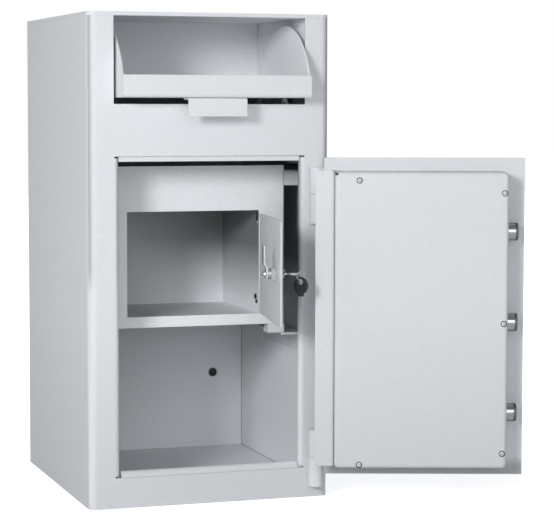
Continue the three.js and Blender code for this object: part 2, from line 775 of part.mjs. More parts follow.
function boltCover() {
  const x = [coverFree + coverEdgeRadius, coverHingeSide - coverEdgeRadius];
  const z = [coverBottom + coverEdgeRadius, coverTop - coverEdgeRadius];
  const shape = roundedRectangle(x, z, coverCornerRadius - coverEdgeRadius);
  const straight = coverDepth;
  const geometry = new THREE.ExtrudeGeometry(shape, {
    depth: straight, curveSegments: 6, bevelThickness: coverEdgeRadius, bevelSize: coverEdgeRadius, bevelSegments: 4,
  });
  geometry.translate(0, 0, coverEdgeRadius - coverDepth);
  geometry.applyMatrix4(planes.seenFromFront);
  const wide = [coverFree - cutOverrun, coverHingeSide + cutOverrun];
  const tall = [coverBottom - cutOverrun, coverTop + cutOverrun];
  const below = block(wide, [-coverDepth, plateGap - doorStandOff], tall);
  const innerX = [coverFree + coverSheet, coverHingeSide - coverSheet];
  const innerZ = [coverBottom + coverSheet, coverTop - coverSheet];
  const hollow = extruded(roundedRectangle(innerX, innerZ, coverCornerRadius - coverSheet), 'seenFromFront',
    -coverDepth, coverDepth - coverSheet, 6);
  let cover = solidOf(geometry).subtract(below).subtract(hollow);
  for (const hole of boltHoles(coverFree - cutOverrun, coverFree + coverSheet + cutOverrun)) {
    cover = cover.subtract(hole);
  }
  return piece('bolt_cover', cover, coatedSteel);
}

function deadBar() {
  const top = deadBarDepth - deadBarSheet / 2;
  const path = [[deadBarPlace, plateGap - doorStandOff], [deadBarPlace, top], [deadBarEnd, top]];
  const shape = bentSheet(path, deadBarBendRadius, deadBarSheet);
  return piece('dead_bar', extruded(shape, 'seenFromTop', deadBarBottom, deadBarTop), coatedSteel);
}

function boltGuide() {
  const foot = plateGap - doorStandOff + guideSheet / 2;
  const path = [[guidePlace + guideFoot, foot], [guidePlace, foot], [guidePlace, guideTop]];
  const heights = boltHeights();
  const shape = bentSheet(path, guideBendRadius, guideSheet);
  let guide = extruded(shape, 'seenFromTop', heights[0] - guideOverhang, heights[2] + guideOverhang);
  for (const hole of boltHoles(guidePlace - cutOverrun, guidePlace + cutOverrun)) {
    guide = guide.subtract(hole);
  }
  return piece('bolt_guide', guide, darkSteel);
}

function bolt(name, z) {
  const noseTurn = [boltRadius - boltNose * boltNoseWidthShare, boltTip + boltNose * boltNoseLengthShare];
  const profile = [[0, boltTip], [boltRadius - boltNose, boltTip], noseTurn, [boltRadius, boltTip + boltNose],
    [boltRadius, barFront - seam], [0, barFront - seam]];
  return piece(name, alongX(turned(profile, 40), boltDepth, z), chrome);
}

function boltBar() {
  const heights = boltHeights();
  const slotX = handleX + boltTravel / 2;
  const pinHeight = Math.sqrt(crankThrow ** 2 - (boltTravel / 2) ** 2);
  const arm = [armNear, armNear + armThickness];
  const behindBar = barFront + barThickness / 2;
  const bar = block([barFront, barFront + barThickness], [barNear, barFar],
    [heights[0] - barOverhang, heights[2] + barOverhang]);
  const crankArm = block([behindBar, slotX + armOverhang], arm, [handleZ, handleZ + armHeight]);
  const lug = block([behindBar, lugEnd], arm, [lugBottom, lugTop]);
  const slotHalf = crankPinRadius + slotClearance;
  const slotZ = [handleZ + pinHeight - slotBelow, handleZ + crankThrow + slotAbove];
  const slot = block([slotX - slotHalf, slotX + slotHalf], [arm[0] - cutOverrun, arm[1] + cutOverrun], slotZ);
  return piece('bolt_bar', bar.add(crankArm).add(lug).subtract(slot), darkSteel);
}

// Handle and crank, at the end of their turn where the bolts are drawn
function leverHandle() {
  const seat = doorFace - plateGap;
  const profile = [[0, seat - hubLength], [hubRadius, seat - hubLength], [hubRadius, seat], [spindleRadius, seat],
    [spindleRadius, spindleEnd], [0, spindleEnd]];
  const hub = alongY(turned(profile), handleX, handleZ);
  const lever = alongX(rod(leverRadius, handleX - leverLength, handleX), seat - hubLength / 2, handleZ);
  return piece('lever_handle', hub.add(lever), chrome);
}

function handleCrank() {
  const reach = Math.asin(boltTravel / 2 / crankThrow);
  const pinX = handleX + crankThrow * Math.sin(reach);
  const pinZ = handleZ + crankThrow * Math.cos(reach);
  const disc = alongY(rod(crankRadius, crankNear, crankFar), handleX, handleZ);
  const eye = alongY(rod(crankPinRadius * 2, crankNear, crankFar), pinX, pinZ);
  const pin = alongY(rod(crankPinRadius, crankNear, crankPinEnd), pinX, pinZ);
  const bore = alongY(rod(spindleRadius + spindleClearance, -cutOverrun, crankFar + cutOverrun), handleX, handleZ);
  return piece('handle_crank', disc.add(eye).add(pin).subtract(bore), darkSteel);
}

// Dial and combination lock
function dialRing() {
  const seat = doorFace - plateGap;
  const profile = [[dialRingInner, seat - dialRingHeight], [dialRingOuter, seat - dialRingHeight],
    [dialRingOuter, seat], [dialRingInner, seat], [dialRingInner, seat - dialRingHeight]];
  return piece('dial_ring', alongY(turned(profile, 48), dialX, dialZ), chrome);
}

function dialKnob() {
  const seat = doorFace - plateGap;
  const profile = [[0, seat - dialLength], [dialGripRadius, seat - dialLength], [dialGripRadius, seat - dialGripStart],
    [dialWaistRadius, seat - dialPlate], [dialRadius, seat - dialPlate / 2], [dialRadius, seat],
    [dialSpindleRadius, seat], [dialSpindleRadius, dialSpindleEnd], [0, dialSpindleEnd]];
  return piece('dial_knob', alongY(turned(profile, 48), dialX, dialZ), blackPlastic);
}

function lockCase() {
  const near = plateGap - doorStandOff;
  let body = block([caseLeft, caseRight], [near, caseDepth], [caseBottom, caseTop]);
  const bore = rod(dialSpindleRadius + dialClearance, near - cutOverrun, dialSpindleEnd + dialClearance);
  body = body.subtract(alongY(bore, dialX, dialZ));
  const pocket = block([caseLeft - cutOverrun, lockBoltTip + lockBoltLength + lockBoltClearance],
    [lockBoltNear - lockBoltClearance, lockBoltFar + lockBoltClearance],
    [lockBoltBottom - lockBoltClearance, lockBoltTop + lockBoltClearance]);
  return piece('lock_case', body.subtract(pocket), zincPlated);
}

function lockBolt() {
  const x = [lockBoltTip, lockBoltTip + lockBoltLength];
  return piece('lock_bolt', block(x, [lockBoltNear, lockBoltFar], [lockBoltBottom, lockBoltTop]), darkSteel);
}

// Locker door
function innerFixedHinge(name, z) {
  const barrel = alongZ(rod(innerBarrelRadius, z - innerBarrelHalf, z, 20), innerHingeX, innerHingeY);
  const leafY = [lockerFace - seam - innerFixedSheet, lockerFace - seam];
  const leaf = block([innerHingeX, innerHingeX + innerFixedLeaf], leafY, [z - innerBarrelHalf, z]);
  const web = block([innerHingeX, innerHingeX + innerBarrelRadius], [innerHingeY, lockerFace - seam],
    [z - innerBarrelHalf, z]);
  const pin = alongZ(rod(innerPinRadius, z - innerBarrelHalf / 2, z + innerBarrelHalf - seam, 16), innerHingeX, innerHingeY);
  return piece(name, barrel.add(leaf).add(web).add(pin), coatedSteel);
}

function innerStrapHinge(name, z) {
  const bottom = z + seam;
  const top = z + innerBarrelHalf;
  const barrel = alongZ(rod(innerBarrelRadius, bottom, top, 20), innerHingeX, innerHingeY);
  const strapY = [innerFace - seam - innerStrap, innerFace - seam];
  const strap = block([innerStrapEnd, innerHingeX], strapY, [bottom, top]);
  const bore = alongZ(rod(innerPinRadius + innerPinClearance, bottom - cutOverrun, top + cutOverrun, 16),
    innerHingeX, innerHingeY);
  return piece(name, barrel.add(strap).subtract(bore), coatedSteel);
}

function innerDoor() {
  const y = [innerFace, innerFace + innerSheet];
  let leaf = block([innerFree, innerHingeEdge], y, [innerBottom, innerTopEdge]);
  const hole = rod(lockBodyRadius + lockHoleClearance, y[0] - cutOverrun, y[1] + cutOverrun);
  leaf = leaf.subtract(alongY(hole, lockX, lockZ));
  return piece('inner_door', leaf, coatedSteel);
}

// Cam lock
function camLockBarrel() {
  const bodyEnd = innerFace + innerSheet + lockBodyEnd;
  const flange = innerFace - seam;
  const profile = [[lockPlugRadius, flange - lockFlangeHeight], [lockFlangeRadius, flange - lockFlangeHeight],
    [lockFlangeRadius, flange], [lockBodyRadius, flange], [lockBodyRadius, bodyEnd], [lockPlugRadius, bodyEnd],
    [lockPlugRadius, flange - lockFlangeHeight]];
  return piece('cam_lock_barrel', alongY(turned(profile), lockX, lockZ), chrome);
}

function camLockNut() {
  const near = innerFace + innerSheet + seam;
  const hexagon = turned([[lockBodyRadius + lockHoleClearance, near], [lockNutRadius, near],
    [lockNutRadius, near + lockNutHeight], [lockBodyRadius + lockHoleClearance, near + lockNutHeight],
    [lockBodyRadius + lockHoleClearance, near]], 6);
  const bore = rod(lockBodyRadius + lockHoleClearance, near - cutOverrun, near + lockNutHeight + cutOverrun);
  return piece('cam_lock_nut', alongY(hexagon, lockX, lockZ).subtract(alongY(bore, lockX, lockZ)), zincPlated);
}

function camLockPlug() {
  const end = innerFace + innerSheet + lockBodyEnd;
  const plug = rod(lockPlugRadius - lockHoleClearance, innerFace - seam - lockFlangeHeight, end);
  return piece('cam_lock_plug', alongY(plug, lockX, lockZ), chrome);
}

function lockCam() {
  const rootPlace = innerFace + innerSheet + lockBodyEnd + seam + camSheet / 2;
  const tipPlace = rootPlace + camJoggle;
  const path = [[rootPlace, lockZ - camHalfWidth], [rootPlace, lockZ + camJoggleStart],
    [tipPlace, lockZ + camJoggleEnd], [tipPlace, lockZ + camLength]];
  const shape = bentSheet(path, camBendRadius, camSheet, 3);
  return piece('lock_cam', extruded(shape, 'seenFromSide', lockX - camHalfWidth, lockX + camHalfWidth), zincPlated);
}

function camScrew() {
  const near = innerFace + innerSheet + lockBodyEnd + seam * 2 + camSheet;
  return piece('cam_screw', alongY(rod(camScrewRadius, near, near + camScrewHeight, 20), lockX, lockZ), zincPlated);
}

// Keys: one lies level in the lock, the spare hangs from its ring, turned a little round the upright
const keyFace = innerFace - seam * 2 - lockFlangeHeight;
const keyHeadY = keyFace - keyBladeLength - keyHeadRadius;
const ringInside = ringRadius - ringWireRadius;
const bridgeReach = Math.sqrt((ringInside - ringSlack) ** 2 - (keyBridge / 2) ** 2);
const ringCentreY = keyHeadY - keyHeadRadius + keyBridge / 2;
const ringCentreZ = lockZ + keyThickness / 2 - bridgeReach;
const gripHoleOffset = gripRadius - keyBridge - gripHoleRadius;
const gripCentreZ = ringCentreZ - ringInside - gripHoleDrop - gripHoleOffset;

function withHole(shape, holeAlong, holeRadius, thickness) {
  const hole = new THREE.Path();
  hole.absarc(-holeAlong, 0, holeRadius, 0, Math.PI * 2, true);
  shape.holes.push(hole);
  const geometry = new THREE.ExtrudeGeometry(shape, { depth: thickness, bevelEnabled: false, curveSegments: 20 });
  geometry.translate(0, 0, -thickness / 2);
  return geometry;
}

function keyInLock() {
  const shape = new THREE.Shape();
  const halfAngle = Math.asin(keyBladeHalfHeight / keyHeadRadius);
  const bladeEnd = keyHeadRadius + keyBladeLength;
  shape.absarc(0, 0, keyHeadRadius, halfAngle, Math.PI * 2 - halfAngle);
  shape.lineTo(bladeEnd, -keyBladeHalfHeight);
  shape.lineTo(bladeEnd, keyBladeHalfHeight);
  shape.closePath();
  const geometry = withHole(shape, keyHeadRadius - keyBridge - keyHoleRadius, keyHoleRadius, keyThickness);
  geometry.rotateZ(Math.PI / 2);
  geometry.translate(lockX, keyHeadY, lockZ);
  return piece('key_in_lock', solidOf(geometry), zincPlated);
}

function hung(geometry) {
  geometry.rotateY(Math.PI / 2);
  geometry.rotateZ(spareTurn);
  geometry.translate(lockX, ringCentreY, gripCentreZ);
  return solidOf(geometry);
}

function spareBlade(from, to, grown) {
  const height = keyBladeHalfHeight * 2 + grown * 2;
  const geometry = new THREE.BoxGeometry(to - from, height, spareBladeThickness + grown * 2);
  geometry.translate((from + to) / 2, 0, 0);
  return hung(geometry);
}

function spareKeyGrip() {
  const shape = new THREE.Shape();
  shape.absarc(0, 0, gripRadius, 0, Math.PI * 2);
  const grip = hung(withHole(shape, gripHoleOffset, gripHoleRadius, gripThickness));
  const socket = spareBlade(gripRadius - gripSocket, gripRadius + cutOverrun, seam);
  return piece('spare_key_grip', grip.subtract(socket), blackPlastic);
}

function spareKeyBlade() {
  const root = gripRadius - gripSocket + seam;
  return piece('spare_key_blade', spareBlade(root, gripRadius + spareBladeLength, 0), zincPlated);
}

function keyRing() {
  const geometry = new THREE.TorusGeometry(ringRadius, ringWireRadius, 10, 40);
  geometry.rotateY(Math.PI / 2);
  geometry.translate(lockX, ringCentreY, ringCentreZ);
  return piece('key_ring', solidOf(geometry), zincPlated);
}

// Assembly, each group measured from the middle of the front face at the floor
const dropSafe = new THREE.Group();
const fromFront = new THREE.Group();
fromFront.position.set(0, -depth / 2, 0);
dropSafe.add(fromFront);

function turnedGroup(x, y, angle) {
  const turning = new THREE.Group();
  turning.position.set(x, y, 0);
  turning.rotation.z = angle;
  const shut = new THREE.Group();
  shut.position.set(-x, -y, 0);
  turning.add(shut);
  fromFront.add(turning);
  return shut;
}

fromFront.add(bodyWrap(), doorwayHeader(), topPlate(), basePlate(), backPlate());
fromFront.add(hopperBaffle(), depositChute(), lockerFront(), lockerBox());
for (const [side, hand, boxSide] of [['left', -1, -lockerLeft + lockerSheet], ['right', 1, lockerRight + lockerSheet]]) {
  fromFront.add(hopperCheek(`hopper_cheek_${side}`, hand));
  fromFront.add(lockerLedge(`locker_ledge_${side}`, hand));
  fromFront.add(lockerSpacer(`locker_spacer_${side}`, hand));
  fromFront.add(lockerStay(`locker_stay_${side}`, hand, boxSide));
  fromFront.add(hopperEnd(`hopper_end_${side}`, hand));
  fromFront.add(hopperPivot(`hopper_pivot_${side}`, hand));
}
fromFront.add(hopperTray(), hopperHandle());

const mainDoor = turnedGroup(hingeX, hingeY, doorOpenAngle);
for (const [level, hinge] of Object.entries(hinges)) {
  fromFront.add(bodyKnuckle(`body_knuckle_${level}`, hinge), hingePin(`hinge_pin_${level}`, hinge));
  mainDoor.add(doorKnuckle(`door_knuckle_${level}`, hinge));
}
mainDoor.add(doorPlate(), boltCover(), deadBar(), boltGuide(), lockCase(), dialRing());
mainDoor.add(boltBar(), leverHandle(), handleCrank(), dialKnob(), lockBolt());
['bolt_lower', 'bolt_middle', 'bolt_upper'].forEach((name, i) => mainDoor.add(bolt(name, boltHeights()[i])));

const lockerDoor = turnedGroup(innerHingeX, innerHingeY, innerOpenAngle);
['lower', 'upper'].forEach((level, i) => {
  fromFront.add(innerFixedHinge(`inner_hinge_${level}`, innerHingeHeights[i]));
  lockerDoor.add(innerStrapHinge(`inner_strap_${level}`, innerHingeHeights[i]));
});
lockerDoor.add(innerDoor(), camLockBarrel(), camLockNut(), camLockPlug(), lockCam(), camScrew());
lockerDoor.add(keyInLock(), keyRing(), spareKeyGrip(), spareKeyBlade());

export default dropSafe;
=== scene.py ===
import json
import math

import bmesh
import bpy
from mathutils import Matrix, Vector


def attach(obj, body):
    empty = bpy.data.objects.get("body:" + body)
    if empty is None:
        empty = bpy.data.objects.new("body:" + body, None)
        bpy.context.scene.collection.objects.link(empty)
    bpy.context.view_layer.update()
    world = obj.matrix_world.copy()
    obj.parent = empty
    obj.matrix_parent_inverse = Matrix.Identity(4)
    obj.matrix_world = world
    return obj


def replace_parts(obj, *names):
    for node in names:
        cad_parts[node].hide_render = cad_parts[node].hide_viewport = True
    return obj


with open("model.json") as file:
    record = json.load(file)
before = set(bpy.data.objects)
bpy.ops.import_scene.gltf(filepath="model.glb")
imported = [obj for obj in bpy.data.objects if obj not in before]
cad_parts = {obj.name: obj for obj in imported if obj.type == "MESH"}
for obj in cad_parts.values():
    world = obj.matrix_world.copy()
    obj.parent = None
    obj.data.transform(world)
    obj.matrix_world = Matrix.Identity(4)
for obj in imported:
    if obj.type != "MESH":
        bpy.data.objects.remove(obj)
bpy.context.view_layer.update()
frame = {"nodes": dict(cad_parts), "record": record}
nodes = frame["nodes"]
print("frame loaded:", len(nodes), "nodes")

mm = 0.001


# Materials

noiseMiddle = (0.3, 0.7)   # where nearly all of a noise texture's values lie
edgeSamples = 6

coatLook = {
    "colour": (0.765, 0.787, 0.81),
    "grainPerMetre": 620.0, "grainDetail": 3.0, "grainHeight": 0.00009, "grainStrength": 0.85,
    "mottlePerMetre": 260.0, "mottleDetail": 4.0, "mottleLow": 0.972, "mottleHigh": 1.022,
    "rough": (0.5, 0.64), "gloss": 0.35,
    "edgeRadius": 0.0011,
}


def newMaterial(name):
    material = bpy.data.materials.new(name)
    material.use_nodes = True
    tree = material.node_tree
    shader = tree.nodes["Principled BSDF"]
    return material, tree, shader


def objectNoise(tree, scale, detail, stretch=None):
    coordinate = tree.nodes.new("ShaderNodeTexCoord")
    noise = tree.nodes.new("ShaderNodeTexNoise")
    noise.inputs["Scale"].default_value = scale
    noise.inputs["Detail"].default_value = detail
    if stretch:
        mapping = tree.nodes.new("ShaderNodeMapping")
        mapping.inputs["Scale"].default_value = stretch
        tree.links.new(coordinate.outputs["Object"], mapping.inputs["Vector"])
        tree.links.new(mapping.outputs["Vector"], noise.inputs["Vector"])
    else:
        tree.links.new(coordinate.outputs["Object"], noise.inputs["Vector"])
    return noise


def spread(tree, source, low, high, start=noiseMiddle[0], end=noiseMiddle[1]):
    ramp = tree.nodes.new("ShaderNodeMapRange")
    ramp.inputs["From Min"].default_value = start
    ramp.inputs["From Max"].default_value = end
    ramp.inputs["To Min"].default_value = low
    ramp.inputs["To Max"].default_value = high
    tree.links.new(source, ramp.inputs["Value"])
    return ramp.outputs["Result"]


def shade(tree, source, dark, light):
    ramp = tree.nodes.new("ShaderNodeValToRGB")
    for element, position, colour in zip(ramp.color_ramp.elements, noiseMiddle, (dark, light)):
        element.position = position
        element.color = (*colour, 1)
    tree.links.new(source, ramp.inputs["Fac"])
    return ramp.outputs["Color"]


def softEdges(tree, radius):
    bevel = tree.nodes.new("ShaderNodeBevel")
    bevel.samples = edgeSamples
    bevel.inputs["Radius"].default_value = radius
    return bevel.outputs["Normal"]


def combined(tree, operation, first, second):
    maths = tree.nodes.new("ShaderNodeMath")
    maths.operation = operation
    for socket, value in zip(maths.inputs, (first, second)):
        if isinstance(value, float):
            socket.default_value = value
        else:
            tree.links.new(value, socket)
    return maths.outputs["Value"]


# Shading painted into the coat by place, in metres, where the lamps leave it too even: darker towards the
# floor and behind the locker, and inside the two compartments paler low on the right

placeTones = {
    "floor": 0.87, "clearFrom": 0.28, "behind": 0.4, "behindFrom": 0.305, "behindTo": 0.34,
    "side": (0.1775, 0.1755), "front": (-0.203, -0.197), "back": (0.2025, 0.2005), "base": (0.001, 0.009),
    "top": (0.6975, 0.695),
}
lowerTones = {
    "left": (1.08, 0.9), "leftUp": (0.01, 0.28), "right": (1.22, 0.78), "rightUp": (0.18, 0.29),
    "across": (-0.09, 0.1),
}
lockerTones = {
    "left": (0.76, 0.62), "leftUp": (0.27, 0.4), "right": (1.22, 0.3), "rightUp": (0.271, 0.362),
    "across": (-0.07, 0.07),
}


def objectParts(tree):
    coordinate = tree.nodes.new("ShaderNodeTexCoord")
    parts = tree.nodes.new("ShaderNodeSeparateXYZ")
    tree.links.new(coordinate.outputs["Object"], parts.inputs["Vector"])
    return [parts.outputs[axis] for axis in "XYZ"]


def blended(tree, first, second, share):
    kept = combined(tree, "MULTIPLY", first, combined(tree, "SUBTRACT", 1.0, share))
    return combined(tree, "ADD", kept, combined(tree, "MULTIPLY", second, share))


def compartmentTone(tree, tones):
    across, _, up = objectParts(tree)
    left = spread(tree, up, *tones["left"], *tones["leftUp"])
    right = spread(tree, up, *tones["right"], *tones["rightUp"])
    return blended(tree, left, right, spread(tree, across, 0.0, 1.0, *tones["across"]))


# Painted shade: the coat darker towards the floor
def dustTone(tree):
    return spread(tree, objectParts(tree)[2], placeTones["floor"], 1.0, 0.0, placeTones["clearFrom"])


def shellTone(tree):
    across, back, up = objectParts(tree)
    behind = spread(tree, up, 0.0, 1.0, placeTones["behindFrom"], placeTones["behindTo"])
    inner = blended(tree, compartmentTone(tree, lowerTones), placeTones["behind"], behind)
    inside = spread(tree, combined(tree, "ABSOLUTE", across, 0.0), 0.0, 1.0, *placeTones["side"])
    for source, limit in ((back, "front"), (back, "back"), (up, "base"), (up, "top")):
        inside = combined(tree, "MULTIPLY", inside, spread(tree, source, 0.0, 1.0, *placeTones[limit]))
    return blended(tree, dustTone(tree), inner, inside)


def lockerTone(tree):
    return compartmentTone(tree, lockerTones)


# Painted shade: dim under the hopper, and on the door plate's inner face below the cover, as the cover's
# shadow

cheekTones = {"tones": (0.2, 1.0), "up": (0.6, 0.615)}
plateTones = {"inward": (-0.3256, -0.9455, 0.0), "depth": (0.1609, 0.1617), "dim": 0.6, "up": (0.051, 0.063)}


def cheekTone(tree):
    return spread(tree, objectParts(tree)[2], *cheekTones["tones"], *cheekTones["up"])


def plateTone(tree):
    coordinate = tree.nodes.new("ShaderNodeTexCoord")
    depth = tree.nodes.new("ShaderNodeVectorMath")
    depth.operation = "DOT_PRODUCT"
    depth.inputs[1].default_value = plateTones["inward"]
    tree.links.new(coordinate.outputs["Object"], depth.inputs[0])
    inner = spread(tree, depth.outputs["Value"], 0.0, 1.0, *plateTones["depth"])
    low = spread(tree, objectParts(tree)[2], plateTones["dim"], 1.0, *plateTones["up"])
    return blended(tree, dustTone(tree), low, inner)


def powderCoat(name, look=coatLook, tone=1.0, byPlace=None):
    material, tree, shader = newMaterial(name)
    colour = [part * tone for part in look["colour"]]
    mottle = objectNoise(tree, look["mottlePerMetre"], look["mottleDetail"])
    low, high = ([part * look[share] for part in colour] for share in ("mottleLow", "mottleHigh"))
    shadeOut = shade(tree, mottle.outputs["Fac"], low, high)
    if byPlace:
        toned = tree.nodes.new("ShaderNodeVectorMath")
        toned.operation = "SCALE"
        tree.links.new(shadeOut, toned.inputs[0])
        tree.links.new(byPlace(tree), toned.inputs["Scale"])
        shadeOut = toned.outputs["Vector"]
    tree.links.new(shadeOut, shader.inputs["Base Color"])
    grain = objectNoise(tree, look["grainPerMetre"], look["grainDetail"])
    tree.links.new(spread(tree, grain.outputs["Fac"], *look["rough"]), shader.inputs["Roughness"])
    bump = tree.nodes.new("ShaderNodeBump")
    bump.inputs["Distance"].default_value = look["grainHeight"]
    bump.inputs["Strength"].default_value = look["grainStrength"]
    tree.links.new(grain.outputs["Fac"], bump.inputs["Height"])
    tree.links.new(softEdges(tree, look["edgeRadius"]), bump.inputs["Normal"])
    tree.links.new(bump.outputs["Normal"], shader.inputs["Normal"])
    shader.inputs["Specular IOR Level"].default_value = look["gloss"]
    return material


metalFinish = {"detail": 5.0, "edgeRadius": 0.0005}
metalLooks = {
    "chromePlate": {
        "dark": (0.46, 0.47, 0.49), "light": (0.6, 0.61, 0.63), "rim": (0.1, 0.1, 0.105),
        "rough": (0.08, 0.18), "scale": 260.0, "stretch": (1, 1, 1),
    },
    "zincPlate": {
        "dark": (0.56, 0.57, 0.59), "light": (0.74, 0.75, 0.77), "rim": (0.3, 0.3, 0.31),
        "rough": (0.26, 0.42), "scale": 340.0, "stretch": (1, 1, 1),
    },
    "brightZinc": {
        "dark": (0.82, 0.83, 0.84), "light": (0.92, 0.925, 0.93), "rim": (0.4, 0.4, 0.4),
        "rough": (0.34, 0.48), "scale": 340.0, "stretch": (1, 1, 1),
    },
    "darkSteel": {
        "dark": (0.16, 0.165, 0.17), "light": (0.28, 0.285, 0.29), "rim": (0.2, 0.2, 0.2),
        "rough": (0.34, 0.52), "scale": 200.0, "stretch": (1, 1, 4),
    },
}


def metal(name):
    look = metalLooks[name]
    material, tree, shader = newMaterial(name)
    noise = objectNoise(tree, look["scale"], metalFinish["detail"], look["stretch"]).outputs["Fac"]
    tree.links.new(shade(tree, noise, look["dark"], look["light"]), shader.inputs["Base Color"])
    tree.links.new(spread(tree, noise, *look["rough"]), shader.inputs["Roughness"])
    tree.links.new(softEdges(tree, metalFinish["edgeRadius"]), shader.inputs["Normal"])
    shader.inputs["Metallic"].default_value = 1.0
    shader.inputs["Specular Tint"].default_value = (*look["rim"], 1)
    return material


mouldingLook = {
    "dark": (0.012, 0.012, 0.013), "light": (0.03, 0.03, 0.032),
    "grainPerMetre": 1800.0, "grainDetail": 3.0, "rough": (0.32, 0.5),
}


def blackMoulding(name, look=mouldingLook):
    material, tree, shader = newMaterial(name)
    grain = objectNoise(tree, look["grainPerMetre"], look["grainDetail"]).outputs["Fac"]
    tree.links.new(shade(tree, grain, look["dark"], look["light"]), shader.inputs["Base Color"])
    tree.links.new(spread(tree, grain, *look["rough"]), shader.inputs["Roughness"])
    return material


coat = powderCoat("powderCoat")
chrome = metal("chromePlate")
zinc = metal("zincPlate")
brightZinc = metal("brightZinc")
darkSteel = metal("darkSteel")
blackPlastic = blackMoulding("blackPlastic")
paintedScrew = powderCoat("paintedScrew", tone=1.04)
# shadowGap is near black, put as painted shade in the cover screws' rings, the cam screw's slot, the
# doorway's corner notches and the cover's open corner
shadowGap = blackMoulding("shadowGap")
whitePaint = powderCoat("whitePaint", tone=1.1)
# brightCoat is a lit copy of the coat, painted light on the locker front and the locker door's hem; dimCoat
# is a darkened copy for painted shadow lines under the sill and along the wall joints
brightCoat = powderCoat("brightCoat", tone=1.14)
dimCoat = powderCoat("dimCoat", tone=0.62)
# Painted light and shade inside the locker: dim high up, paler low on the right
lockerShadeCoat = powderCoat("lockerShadeCoat", byPlace=lockerTone)
# leafCoat is a shaded copy of the coat, painted shade on the locker door
leafCoat = powderCoat("leafCoat", tone=0.9)
slotMaterials = {
    "powder_coat": coat,
    "zinc_plate": zinc,
    "dark_steel": darkSteel,
    "chrome": chrome,
    "black_plastic": blackPlastic,
}

# Painted light and shade: shellCoat, coverCoat and plateCoat carry the painted shade set out above, coverCoat
# also as a shaded copy of the coat; litCoat is a lit copy for the hopper's baffle and right end plate;
# cheekCoat is a lit copy with painted shade below the tray
shellCoat = powderCoat("shellCoat", byPlace=shellTone)
coverCoat = powderCoat("coverCoat", tone=0.94, byPlace=dustTone)
litCoat = powderCoat("litCoat", tone=1.2)
cheekCoat = powderCoat("cheekCoat", tone=1.14, byPlace=cheekTone)
plateCoat = powderCoat("plateCoat", byPlace=plateTone)
nodeMaterials = {
    "body_wrap": shellCoat, "back_plate": shellCoat, "base_plate": shellCoat,
    "hopper_baffle": litCoat, "hopper_end_right": litCoat, "hopper_cheek_right": cheekCoat,
    "locker_front": brightCoat, "locker_box": lockerShadeCoat, "inner_door": leafCoat,
    "bolt_cover": coverCoat, "dead_bar": coverCoat, "door_plate": plateCoat,
}

for entry in frame["record"]["subparts"]:
    shown = nodes[entry["node"]]
    shown.data.materials.clear()
    look = nodeMaterials.get(entry["node"], slotMaterials[entry["material_slot"]])
    shown.data.materials.append(look)
print("materials made")


# Places, in millimetres across, back from the front and up, as the safe's parts are measured

depthHalf = 203.0
doorSwing = {"across": 155.0, "back": -11.0, "degrees": 161.0}
lockerSwing = {"across": 106.0, "back": 85.7, "degrees": 80.3}


def spot(across, back, up):
    return Vector((across * mm, (back - depthHalf) * mm, up * mm))


def turnAbout(swing):
    hinge = spot(swing["across"], swing["back"], 0)
    turn = Matrix.Rotation(math.radians(swing["degrees"]), 4, "Z")
    return Matrix.Translation(hinge) @ turn @ Matrix.Translation(-hinge)


openDoor = turnAbout(doorSwing)
openLocker = turnAbout(lockerSwing)
facing = {
    "front": Matrix.Rotation(math.radians(90), 4, "X"),
    "back": Matrix.Rotation(math.radians(-90), 4, "X"),
    "left": Matrix.Rotation(math.radians(-90), 4, "Y"),
    "right": Matrix.Rotation(math.radians(90), 4, "Y"),
}


meshFinish = {"merge": 0.01, "spunMerge": 0.005, "sharpFrom": 32, "roundSteps": 3}


def finishPiece(name, shape, material, body, smooth=True):
    bmesh.ops.remove_doubles(shape, verts=shape.verts, dist=meshFinish["merge"] * mm)
    bmesh.ops.recalc_face_normals(shape, faces=shape.faces)
    mesh = bpy.data.meshes.new(name)
    shape.to_mesh(mesh)
    shape.free()
    if smooth:
        mesh.shade_smooth()
        mesh.set_sharp_from_angle(angle=math.radians(meshFinish["sharpFrom"]))
    mesh.materials.append(material)
    piece = bpy.data.objects.new(name, mesh)
    bpy.context.scene.collection.objects.link(piece)
    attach(piece, body)
    return piece


def spun(shape, profile, place, steps=32, closed=False):
    corners = [shape.verts.new((radius * mm, 0, along * mm)) for radius, along in profile]
    runs = [shape.edges.new(pair) for pair in zip(corners, corners[1:])]
    if closed:
        runs.append(shape.edges.new((corners[-1], corners[0])))
    before = set(shape.verts) - set(corners)
    bmesh.ops.spin(shape, geom=corners + runs, cent=(0, 0, 0), axis=(0, 0, 1), angle=math.tau, steps=steps,
                   use_merge=True)
    made = [vert for vert in shape.verts if vert not in before]
    bmesh.ops.remove_doubles(shape, verts=made, dist=meshFinish["spunMerge"] * mm)
    made = [vert for vert in shape.verts if vert not in before]
    bmesh.ops.transform(shape, matrix=place, verts=made)


def slab(shape, size, place):
    made = bmesh.ops.create_cube(shape, size=1.0)["verts"]
    bmesh.ops.scale(shape, vec=[part * mm for part in size], verts=made)
    bmesh.ops.transform(shape, matrix=place, verts=made)


def extrudeUp(shape, height):
    raised = bmesh.ops.extrude_face_region(shape, geom=shape.faces[:])["geom"]
    lifted = [part for part in raised if isinstance(part, bmesh.types.BMVert)]
    bmesh.ops.translate(shape, vec=(0, 0, height * mm), verts=lifted)


def roundEdges(shape, edges, radius):
    bmesh.ops.bevel(shape, geom=edges, affect="EDGES", offset=radius * mm, segments=meshFinish["roundSteps"],
                    profile=0.5, material=-1)


# Weld, dressed flush, between the body sheet and the top plate

seamWeld = {
    "bottom": 692.6, "top": 693.8, "proud": 0.08, "corner": 12.0, "cornerSteps": 10, "halfWidth": 178.0,
    "depth": 406.0,
}


